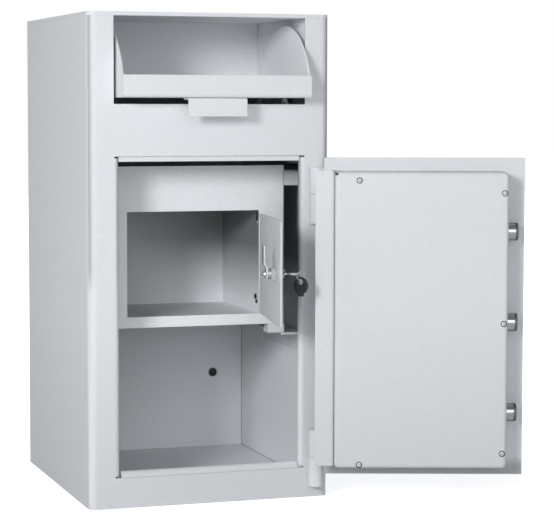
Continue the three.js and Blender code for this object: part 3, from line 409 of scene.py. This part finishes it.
def makeSeamWeld():
    shape = bmesh.new()
    bmesh.ops.create_grid(shape, x_segments=1, y_segments=1, size=0.5)
    wide = (seamWeld["halfWidth"] + seamWeld["proud"]) * 2
    deep = seamWeld["depth"] + seamWeld["proud"]
    bmesh.ops.scale(shape, vec=(wide * mm, deep * mm, 1), verts=shape.verts)
    middle = spot(0, deep / 2 - seamWeld["proud"], seamWeld["bottom"])
    bmesh.ops.translate(shape, vec=middle, verts=shape.verts)
    front = [vert for vert in shape.verts if vert.co.y < 0]
    bmesh.ops.bevel(shape, geom=front, affect="VERTICES", offset=seamWeld["corner"] * mm,
                    offset_type="OFFSET", segments=seamWeld["cornerSteps"], profile=0.5, material=-1)
    extrudeUp(shape, seamWeld["top"] - seamWeld["bottom"])
    finishPiece("seamWeld", shape, coat, "safe")


# Screws that hold the cover over the boltwork; the black ring round each head is painted shade, and the dark
# cross on each head is painted shade for its recess

coverScrews = {
    "places": [(95.3, 463.3), (-109.6, 445.7), (-109.6, 260.8), (-108.8, 75.3), (94.3, 59.0)],
    "face": 47.0,
    "head": [(0, 2.3), (1.1, 2.2), (2.1, 1.8), (2.8, 1.1), (3.2, 0.3), (3.2, -0.8), (0, -0.8)],
    "gap": [(3.1, -0.3), (4.4, -0.3), (4.4, 0.14), (3.1, 0.14)],
    "cross": (2.7, 0.62, 0.5),
    "crossTop": 2.1, "crossTurn": (17, 41),
}


def makeCoverScrews():
    heads, gaps, crosses = bmesh.new(), bmesh.new(), bmesh.new()
    firstTurn, nextTurn = coverScrews["crossTurn"]
    for index, (across, up) in enumerate(coverScrews["places"]):
        place = openDoor @ Matrix.Translation(spot(across, coverScrews["face"], up)) @ facing["back"]
        turned = Matrix.Rotation(math.radians(firstTurn + index * nextTurn), 4, "Z")
        spun(heads, coverScrews["head"], place)
        spun(gaps, coverScrews["gap"], place, closed=True)
        lifted = place @ turned @ Matrix.Translation((0, 0, coverScrews["crossTop"] * mm))
        slab(crosses, coverScrews["cross"], lifted)
        slab(crosses, coverScrews["cross"], lifted @ Matrix.Rotation(math.radians(90), 4, "Z"))
    finishPiece("coverScrewHeads", heads, paintedScrew, "main_door")
    finishPiece("coverScrewShadowRings", gaps, shadowGap, "main_door")
    finishPiece("coverScrewCrosses", crosses, darkSteel, "main_door", smooth=False)


# Plugs in the wall anchor holes, each with the raised rim the punch left

wallPlugs = {
    "across": (-125.0, 125.0), "up": 132.0, "inside": 403.0,
    "plug": [(0, -0.8), (4.6, -0.8), (5.4, -0.2), (6.6, -0.2), (6.85, -0.6), (6.85, -2.6), (0, -2.6)],
    "rim": [(7.0, -0.2), (7.0, 0.35), (7.6, 0.6), (8.3, 0.35), (8.8, -0.2)],
}


def makeWallPlugs():
    plugs, rims = bmesh.new(), bmesh.new()
    for across in wallPlugs["across"]:
        place = Matrix.Translation(spot(across, wallPlugs["inside"], wallPlugs["up"])) @ facing["front"]
        spun(plugs, wallPlugs["plug"], place)
        spun(rims, wallPlugs["rim"], place, closed=True)
    finishPiece("wallPlugs", plugs, blackPlastic, "safe")
    finishPiece("wallHoleRims", rims, coat, "safe")


# Fixings of the locker's hinges, on the inside of its right wall

hingeFixings = {
    "wall": 101.4,
    "heads": [(97.7, 396.0, 3.4), (104.6, 285.0, 4.0), (99.4, 278.0, 3.0)],
    "head": [(0, 2.6), (0.45, 2.5), (0.8, 2.0), (1.0, 1.1), (1.0, -0.3), (0, -0.3)],
    "plate": {"size": (6.0, 1.2, 17.0), "at": (98.4, 403.0), "sunk": 0.4}, "steps": 24,
}


def makeHingeFixings():
    black, bright = bmesh.new(), bmesh.new()
    for index, (back, up, radius) in enumerate(hingeFixings["heads"]):
        profile = [(part * radius, along) for part, along in hingeFixings["head"]]
        place = Matrix.Translation(spot(hingeFixings["wall"], back, up)) @ facing["left"]
        spun(black if index else bright, profile, place, hingeFixings["steps"])
    plate = hingeFixings["plate"]
    across = hingeFixings["wall"] - plate["sunk"]
    place = Matrix.Translation(spot(across, *plate["at"])) @ Matrix.Rotation(math.radians(90), 4, "Z")
    slab(black, plate["size"], place)
    finishPiece("hingeFixingsBlack", black, blackPlastic, "safe")
    finishPiece("hingeFixingBright", bright, zinc, "safe")


def keyPlace(at, turn):
    hung = Matrix.Rotation(math.radians(turn), 4, "Z") @ facing["right"]
    return openLocker @ Matrix.Translation(spot(*at)) @ hung


# The spare key's blade, cut with teeth

spareBlade = {
    "replaces": "spare_key_blade", "lock": (-66.0, 58.1, 317.604), "turn": -45.0,
    "from": 6.3, "to": 31.0, "half": 3.3, "thick": 1.6,
    "cuts": [0, 0, 0.3, 0, 1.3, 0.5, 1.7, 0.8, 1.5, 0.4, 1.2, 1.9],
}


def makeSpareBlade():
    shape = bmesh.new()
    steps = len(spareBlade["cuts"])
    bmesh.ops.create_grid(shape, x_segments=steps - 1, y_segments=1, size=0.5)
    long = spareBlade["to"] - spareBlade["from"]
    bmesh.ops.scale(shape, vec=(long * mm, spareBlade["half"] * 2 * mm, 1), verts=shape.verts)
    middle = ((spareBlade["from"] + long / 2) * mm, 0, -spareBlade["thick"] / 2 * mm)
    bmesh.ops.translate(shape, vec=middle, verts=shape.verts)
    edge = sorted((vert for vert in shape.verts if vert.co.y > 0), key=lambda vert: vert.co.x)
    for vert, cut in zip(edge, spareBlade["cuts"]):
        bmesh.ops.translate(shape, vec=(0, -cut * mm, 0), verts=[vert])
    extrudeUp(shape, spareBlade["thick"])
    bmesh.ops.transform(shape, matrix=keyPlace(spareBlade["lock"], spareBlade["turn"]), verts=shape.verts)
    piece = finishPiece("spareKeyBlade", shape, zinc, "key_ring", smooth=False)
    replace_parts(piece, spareBlade["replaces"])


# Combination dial: its ring and knob, and its marks, numbers and ribbed grip

dialFace = {
    "at": (20.0, 345.0), "seat": -13.5, "marks": 100, "numbersEvery": 10,
    "markRadius": 35.6, "markSize": (0.45, 3.0, 0.7), "tenSize": (0.8, 4.4, 0.7), "markLift": 4.35,
    "numberRadius": 28.2, "numberHeight": 5.2, "numberLift": 5.6, "numberThick": 0.45,
    "ribs": 72, "ribRadius": 20.0, "ribProud": 0.7, "ribFrom": 16.0, "ribTo": 29.0,
    "indexRadius": 42.5, "indexLift": 6.6, "indexSize": (1.2, 5.0, 1.4), "steps": 96,
    "ring": [
        (39.0, 0), (39.0, 6.2), (39.5, 6.9), (40.2, 7.0), (43.6, 7.0), (45.2, 6.3), (45.9, 5.0), (46.0, 3.6),
        (46.0, 0),
    ],
    "knob": [
        (0, 29.4), (15.6, 29.4), (16.2, 30.0), (18.6, 30.0), (19.6, 29.5), (20.0, 28.4), (20.0, 15.6),
        (19.5, 14.4), (17.4, 9.2), (17.2, 8.0), (37.0, 4.2), (37.8, 3.6), (38.0, 2.8), (38.0, 0), (4.0, 0),
        (4.0, -29.5), (0, -29.5),
    ],
}


def dialPlace(mark, radius, lift):
    across, up = dialFace["at"]
    face = openDoor @ Matrix.Translation(spot(across, dialFace["seat"], up)) @ facing["front"]
    turn = Matrix.Rotation(-math.tau * mark / dialFace["marks"], 4, "Z")
    return face @ turn @ Matrix.Translation((0, radius * mm, lift * mm))


def makeDial():
    ring, knob = bmesh.new(), bmesh.new()
    spun(ring, dialFace["ring"], dialPlace(0, 0, 0), dialFace["steps"], closed=True)
    spun(knob, dialFace["knob"], dialPlace(0, 0, 0), dialFace["steps"])
    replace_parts(finishPiece("turnedDialRing", ring, chrome, "main_door"), "dial_ring")
    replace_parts(finishPiece("turnedDial", knob, blackPlastic, "dial"), "dial_knob")


def makeDialMarks():
    marks = bmesh.new()
    for mark in range(dialFace["marks"]):
        size = dialFace["tenSize"] if mark % dialFace["numbersEvery"] == 0 else dialFace["markSize"]
        slab(marks, size, dialPlace(mark, dialFace["markRadius"], dialFace["markLift"]))
    for number in range(0, dialFace["marks"], dialFace["numbersEvery"]):
        words = bpy.data.curves.new("number", "FONT")
        words.body = str(number)
        words.size = dialFace["numberHeight"] * mm
        words.extrude = dialFace["numberThick"] * mm
        words.align_x = "CENTER"
        words.align_y = "CENTER"
        holder = bpy.data.objects.new("number", words)
        bpy.context.scene.collection.objects.link(holder)
        drawn = bpy.data.meshes.new_from_object(holder)
        drawn.transform(dialPlace(number, dialFace["numberRadius"], dialFace["numberLift"]))
        marks.from_mesh(drawn)
        bpy.data.objects.remove(holder)
    finishPiece("dialMarks", marks, whitePaint, "dial", smooth=False)
    index = bmesh.new()
    slab(index, dialFace["indexSize"], dialPlace(0, dialFace["indexRadius"], dialFace["indexLift"]))
    finishPiece("dialIndex", index, blackPlastic, "main_door", smooth=False)


def makeDialRibs():
    ribs = bmesh.new()
    radius = dialFace["ribRadius"]
    bmesh.ops.create_circle(ribs, cap_ends=True, segments=dialFace["ribs"] * 2, radius=radius * mm)
    bmesh.ops.translate(ribs, vec=(0, 0, dialFace["ribFrom"] * mm), verts=ribs.verts)
    share = 1 + dialFace["ribProud"] / radius
    bmesh.ops.scale(ribs, vec=(share, share, 1), verts=list(ribs.verts)[::2])
    extrudeUp(ribs, dialFace["ribTo"] - dialFace["ribFrom"])
    bmesh.ops.transform(ribs, matrix=dialPlace(0, 0, 0), verts=ribs.verts)
    finishPiece("dialRibs", ribs, blackPlastic, "dial", smooth=False)


# Caps on the handle's hub and on the end of its lever

handleCaps = {
    "hub": (20.0, -39.5, 215.0),
    "hubCap": [(0, 1.9), (7, 1.7), (12, 1.1), (14.6, 0.2), (15.0, -0.6), (0, -0.6)],
    "tip": (-92.0, -26.5, 215.0),
    "tipCap": [(0, 4.2), (2.6, 3.9), (5.0, 2.7), (6.6, 0.8), (7.0, -0.6), (0, -0.6)],
}


def makeHandleCaps():
    shape = bmesh.new()
    for part, way in (("hub", "front"), ("tip", "left")):
        place = openDoor @ Matrix.Translation(spot(*handleCaps[part])) @ facing[way]
        spun(shape, handleCaps[part + "Cap"], place)
    finishPiece("handleCaps", shape, chrome, "handle")


# Chrome rose round the keyway, on the outside of the locker door

lockRose = {
    "at": (-66.0, 87.0, 334.5),
    "profile": [
        (5.3, -0.2), (5.3, 4.8), (5.9, 5.3), (6.9, 5.1), (7.8, 4.2), (8.3, 2.6), (8.6, 1.0), (8.7, -0.2),
    ],
}


def makeLockRose():
    shape = bmesh.new()
    place = openLocker @ Matrix.Translation(spot(*lockRose["at"])) @ facing["front"]
    spun(shape, lockRose["profile"], place, closed=True)
    finishPiece("lockRose", shape, chrome, "locker_door")


# Folded hem down the hinge side of the locker door, in a lighter coat than the door: a painted highlight
# along its edge

leafHem = {"size": (4.6, 1.0, 138.0), "at": (95.2, 92.7, 336.2), "round": 0.4}


def makeLeafHem():
    shape = bmesh.new()
    slab(shape, leafHem["size"], openLocker @ Matrix.Translation(spot(*leafHem["at"])))
    roundEdges(shape, shape.edges[:], leafHem["round"])
    finishPiece("leafHem", shape, brightCoat, "locker_door")


# Bolts, turned smooth, each with a chamfered end under a dark steel ring, a painted dark reflection

bolts = {
    "tip": -130.0, "back": 26.0, "up": {"bolt_lower": 132.1, "bolt_middle": 261.3, "bolt_upper": 390.5},
    "profile": [
        (0, 0), (9.5, 0), (11.0, -0.5), (12.0, -1.6), (12.42, -2.5), (12.5, -3.2), (12.5, -67.7), (0, -67.7),
    ],
    "rim": [(9.6, 0.12), (11.4, 0.12), (12.3, -0.5), (12.62, -1.3), (12.62, -4.0), (12.2, -4.0), (9.6, -0.3)],
    "steps": 64,
}


def makeBolts():
    rims = bmesh.new()
    for node, up in bolts["up"].items():
        place = openDoor @ Matrix.Translation(spot(bolts["tip"], bolts["back"], up)) @ facing["left"]
        shape = bmesh.new()
        spun(shape, bolts["profile"], place, bolts["steps"])
        spun(rims, bolts["rim"], place, bolts["steps"], closed=True)
        piece = finishPiece(node.replace("bolt_", "turnedBolt_"), shape, chrome, "boltwork")
        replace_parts(piece, node)
    finishPiece("boltReflectionRims", rims, darkSteel, "boltwork")


# Cam lock's nut, thread and screw, on the inside of the locker door

camLock = {
    "across": -66.0, "up": 334.5, "nutBack": 92.8, "threadBack": 101.0, "screwBack": 108.1,
    "nut": [(7.15, 0), (8.4, 0), (9.4, 0.8), (9.4, 7.2), (8.4, 8.0), (7.15, 8.0)], "nutSides": 6,
    "thread": [(6.6, 0), (7.2, 0.38), (6.6, 0.76)], "threads": 5, "pitch": 0.8,
    "screw": [(0, 4.0), (2.2, 3.8), (3.6, 3.0), (4.2, 1.6), (4.2, 0), (0, 0)],
    "slot": (7.4, 1.1, 0.9), "slotTop": 3.7, "slotTurn": 35,
}


def camPlace(back):
    return openLocker @ Matrix.Translation(spot(camLock["across"], back, camLock["up"])) @ facing["back"]


def makeCamLock():
    nut, threads, screw, slot = bmesh.new(), bmesh.new(), bmesh.new(), bmesh.new()
    spun(nut, camLock["nut"], camPlace(camLock["nutBack"]), camLock["nutSides"], closed=True)
    for turn in range(camLock["threads"]):
        place = camPlace(camLock["threadBack"] + turn * camLock["pitch"])
        spun(threads, camLock["thread"], place, closed=True)
    spun(screw, camLock["screw"], camPlace(camLock["screwBack"]))
    lifted = Matrix.Translation((0, 0, camLock["slotTop"] * mm))
    turned = Matrix.Rotation(math.radians(camLock["slotTurn"]), 4, "Z")
    # The screw's slot is a black slab, painted shade in place of a cut slot
    slab(slot, camLock["slot"], camPlace(camLock["screwBack"]) @ lifted @ turned)
    chamfered = finishPiece("chamferedNut", nut, brightZinc, "locker_door", smooth=False)
    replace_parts(chamfered, "cam_lock_nut")
    finishPiece("barrelThread", threads, brightZinc, "locker_door")
    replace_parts(finishPiece("domedScrew", screw, brightZinc, "lock_plug"), "cam_screw")
    finishPiece("screwSlot", slot, shadowGap, "lock_plug", smooth=False)


# Key ring, of two coils of wire

keyRing = {
    "at": (-66.0, 58.1, 331.004), "radius": 6.0, "wire": 0.46, "coil": 0.4, "wireSides": 12, "steps": 64,
}


def makeKeyRing():
    ring = bmesh.new()
    place = openLocker @ Matrix.Translation(spot(*keyRing["at"])) @ facing["right"]
    turns = [math.tau * side / keyRing["wireSides"] for side in range(keyRing["wireSides"])]
    radius, thick = keyRing["radius"], keyRing["wire"]
    for coil in (-keyRing["coil"], keyRing["coil"]):
        wire = [(radius + thick * math.cos(turn), coil + thick * math.sin(turn)) for turn in turns]
        spun(ring, wire, place, keyRing["steps"], closed=True)
    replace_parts(finishPiece("splitRing", ring, brightZinc, "key_ring"), "key_ring")


# The spare key's moulded head, with the collar that holds its blade

keyHead = {
    "at": (-66.0, 58.1, 317.604), "turn": -45.0, "radius": 12.0, "thick": 3.2,
    "holeRadius": 4.2, "holeAlong": -5.4, "round": 0.8, "sides": 56, "sharpFrom": 1.2,
    "collar": {"size": (6.0, 9.4, 3.0), "along": 12.2, "round": 0.9},
}


def makeKeyHead():
    head, collar = bmesh.new(), bmesh.new()
    sides, radius, holeRadius = (keyHead[part] for part in ("sides", "radius", "holeRadius"))
    rim = bmesh.ops.create_circle(head, segments=sides, radius=radius * mm)["verts"]
    hole = bmesh.ops.create_circle(head, segments=sides, radius=holeRadius * mm)["verts"]
    bmesh.ops.translate(head, vec=(keyHead["holeAlong"] * mm, 0, 0), verts=hole)
    bmesh.ops.bridge_loops(head, edges=head.edges[:])
    bmesh.ops.translate(head, vec=(0, 0, -keyHead["thick"] / 2 * mm), verts=rim + hole)
    extrudeUp(head, keyHead["thick"])
    bmesh.ops.recalc_face_normals(head, faces=head.faces)
    shared = [edge for edge in head.edges if len(edge.link_faces) == 2]
    sharp = [edge for edge in shared if edge.calc_face_angle() > keyHead["sharpFrom"]]
    roundEdges(head, sharp, keyHead["round"])
    look = keyHead["collar"]
    slab(collar, look["size"], Matrix.Translation((look["along"] * mm, 0, 0)))
    roundEdges(collar, collar.edges[:], look["round"])
    place = keyPlace(keyHead["at"], keyHead["turn"])
    for shape in (head, collar):
        bmesh.ops.transform(shape, matrix=place, verts=shape.verts)
    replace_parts(finishPiece("keyHead", head, blackPlastic, "key_ring"), "spare_key_grip")
    finishPiece("keyCollar", collar, blackPlastic, "key_ring")


# Painted shadow line under the sill, and painted shade in the dark corners where the doorway's folded edges
# meet

sillMarks = {
    "shadowLine": {"size": (272.0, 0.5, 0.55), "at": (0.0, 0.1, 43.3)},
    "corner": {"size": (2.2, 0.6, 9.0), "across": 139.2, "back": 2.2, "up": 48.6},
}


def makeSillMarks():
    shadowLine, corners = bmesh.new(), bmesh.new()
    slab(shadowLine, sillMarks["shadowLine"]["size"], Matrix.Translation(spot(*sillMarks["shadowLine"]["at"])))
    corner = sillMarks["corner"]
    for side in (-1, 1):
        at = spot(side * corner["across"], corner["back"], corner["up"])
        slab(corners, corner["size"], Matrix.Translation(at))
    finishPiece("sillShadowLine", shadowLine, dimCoat, "safe", smooth=False)
    finishPiece("sillCorners", corners, shadowGap, "safe", smooth=False)


# Open corner of the cover's fold, as a black disc: painted shade where the corner opens

foldHole = {
    "at": (127.0, 47.0, 472.3), "steps": 20,
    "profile": [(0, 0.12), (1.5, 0.12), (1.9, -0.2), (1.9, -0.6), (0, -0.6)],
}


def makeFoldHole():
    shape = bmesh.new()
    place = openDoor @ Matrix.Translation(spot(*foldHole["at"])) @ facing["back"]
    spun(shape, foldHole["profile"], place, foldHole["steps"])
    finishPiece("foldHole", shape, shadowGap, "main_door")


# Shadowed joints where the back plate and the base meet the walls

wallJoints = {
    "wide": 1.1, "side": 174.6, "back": 402.6, "floor": 10.4, "top": 690.0, "front": 8.0,
}


def makeWallJoints():
    shape = bmesh.new()
    wide = wallJoints["wide"]
    tall = wallJoints["top"] - wallJoints["floor"]
    long = wallJoints["back"] - wallJoints["front"]
    for side in (-1, 1):
        across = side * wallJoints["side"]
        middle = wallJoints["floor"] + tall / 2
        slab(shape, (wide, wide, tall), Matrix.Translation(spot(across, wallJoints["back"], middle)))
        middle = wallJoints["front"] + long / 2
        slab(shape, (wide, long, wide), Matrix.Translation(spot(across, middle, wallJoints["floor"])))
    finishPiece("wallJoints", shape, dimCoat, "safe", smooth=False)


makeSeamWeld()
makeWallJoints()
makeLockRose()
makeLeafHem()
makeBolts()
makeCamLock()
makeKeyRing()
makeKeyHead()
makeSillMarks()
makeFoldHole()
makeCoverScrews()
makeWallPlugs()
makeHingeFixings()
makeSpareBlade()
makeDial()
makeDialMarks()
makeDialRibs()
makeHandleCaps()
print("small parts made")


# Floor, light and camera

floorLook = {
    "size": 9.0, "colour": (0.93, 0.93, 0.935), "rough": 0.9, "nearGlow": 0.62, "farGlow": 1.0,
    "near": 0.45, "far": 1.5,
}


def makeFloor():
    mesh = bpy.data.meshes.new("floor")
    sheet = bmesh.new()
    bmesh.ops.create_grid(sheet, x_segments=1, y_segments=1, size=floorLook["size"])
    sheet.to_mesh(mesh)
    sheet.free()
    floor = bpy.data.objects.new("floor", mesh)
    bpy.context.scene.collection.objects.link(floor)
    material, tree, shader = newMaterial("paleFloor")
    shader.inputs["Base Color"].default_value = (*floorLook["colour"], 1)
    shader.inputs["Roughness"].default_value = floorLook["rough"]
    shader.inputs["Specular IOR Level"].default_value = 0.0
    place = tree.nodes.new("ShaderNodeTexCoord")
    away = tree.nodes.new("ShaderNodeVectorMath")
    away.operation = "LENGTH"
    tree.links.new(place.outputs["Object"], away.inputs[0])
    glows = floorLook["nearGlow"], floorLook["farGlow"]
    reach = spread(tree, away.outputs["Value"], *glows, floorLook["near"], floorLook["far"])
    path = tree.nodes.new("ShaderNodeLightPath")
    glow = tree.nodes.new("ShaderNodeMath")
    glow.operation = "MULTIPLY"
    tree.links.new(path.outputs["Is Camera Ray"], glow.inputs[0])
    tree.links.new(reach, glow.inputs[1])
    shader.inputs["Emission Color"].default_value = (1, 1, 1, 1)
    tree.links.new(glow.outputs["Value"], shader.inputs["Emission Strength"])
    mesh.materials.append(material)


worldLook = {"ambient": (0.80, 0.82, 0.85), "ambientStrength": 0.31}


def makeWorld():
    world = bpy.data.worlds.new("studio")
    bpy.context.scene.world = world
    world.use_nodes = True
    tree = world.node_tree
    tree.nodes.clear()
    path = tree.nodes.new("ShaderNodeLightPath")
    ambient = tree.nodes.new("ShaderNodeBackground")
    ambient.inputs["Color"].default_value = (*worldLook["ambient"], 1)
    ambient.inputs["Strength"].default_value = worldLook["ambientStrength"]
    white = tree.nodes.new("ShaderNodeBackground")
    white.inputs["Color"].default_value = (1, 1, 1, 1)
    white.inputs["Strength"].default_value = 1.0
    mix = tree.nodes.new("ShaderNodeMixShader")
    output = tree.nodes.new("ShaderNodeOutputWorld")
    tree.links.new(path.outputs["Is Camera Ray"], mix.inputs["Fac"])
    tree.links.new(ambient.outputs["Background"], mix.inputs[1])
    tree.links.new(white.outputs["Background"], mix.inputs[2])
    tree.links.new(mix.outputs["Shader"], output.inputs["Surface"])


lamps = {
    "key": {"at": (-1.85, -2.3, 1.15), "aim": (0.1, -0.15, 0.4), "size": (0.6, 0.6), "watts": 39.0},
    "front": {"at": (-0.2, -3.3, 1.15), "aim": (0.05, -0.1, 0.45), "size": (1.8, 1.8), "watts": 19.0},
    "side": {"at": (-2.6, -0.6, 1.0), "aim": (-0.1, 0.0, 0.35), "size": (1.2, 1.2), "watts": 5.0},
    "behind": {"at": (1.5, 2.6, 1.4), "aim": (0.0, 0.0, 0.35), "size": (1.4, 1.4), "watts": 16.0},
}


def makeLamps():
    for name, lamp in lamps.items():
        light = bpy.data.lights.new(name, "AREA")
        light.shape = "RECTANGLE"
        light.size, light.size_y = lamp["size"]
        light.energy = lamp["watts"]
        holder = bpy.data.objects.new(name, light)
        holder.location = lamp["at"]
        ahead = Vector(lamp["aim"]) - Vector(lamp["at"])
        holder.rotation_euler = ahead.to_track_quat("-Z", "Y").to_euler()
        bpy.context.scene.collection.objects.link(holder)


view = {
    "at": (-0.8272, -2.9302, 0.5738),
    "yaw": 0.32738,
    "pitch": -0.07861,
    "roll": -0.00225,
    "focalPixels": 2011.6,
    "widthPixels": 554,
    "sensor": 36.0,
    "clip": (0.05, 60.0),
}


def makeCamera():
    camera = bpy.data.cameras.new("camera")
    camera.sensor_width = view["sensor"]
    camera.lens = view["focalPixels"] * camera.sensor_width / view["widthPixels"]
    holder = bpy.data.objects.new("camera", camera)
    ahead = Vector((
        math.sin(view["yaw"]) * math.cos(view["pitch"]),
        math.cos(view["yaw"]) * math.cos(view["pitch"]),
        math.sin(view["pitch"]),
    ))
    across = Vector((math.cos(view["yaw"]), -math.sin(view["yaw"]), 0))
    down = ahead.cross(across)
    level = across * math.cos(view["roll"]) + down * math.sin(view["roll"])
    up = across * math.sin(view["roll"]) - down * math.cos(view["roll"])
    turn = Matrix((level, up, -ahead)).transposed().to_4x4()
    holder.matrix_world = Matrix.Translation(view["at"]) @ turn
    camera.clip_start, camera.clip_end = view["clip"]
    bpy.context.scene.collection.objects.link(holder)
    bpy.context.scene.camera = holder


makeCamera()
makeFloor()
makeWorld()
makeLamps()
bpy.context.scene.view_settings.view_transform = "Standard"
print("floor, light and camera made")
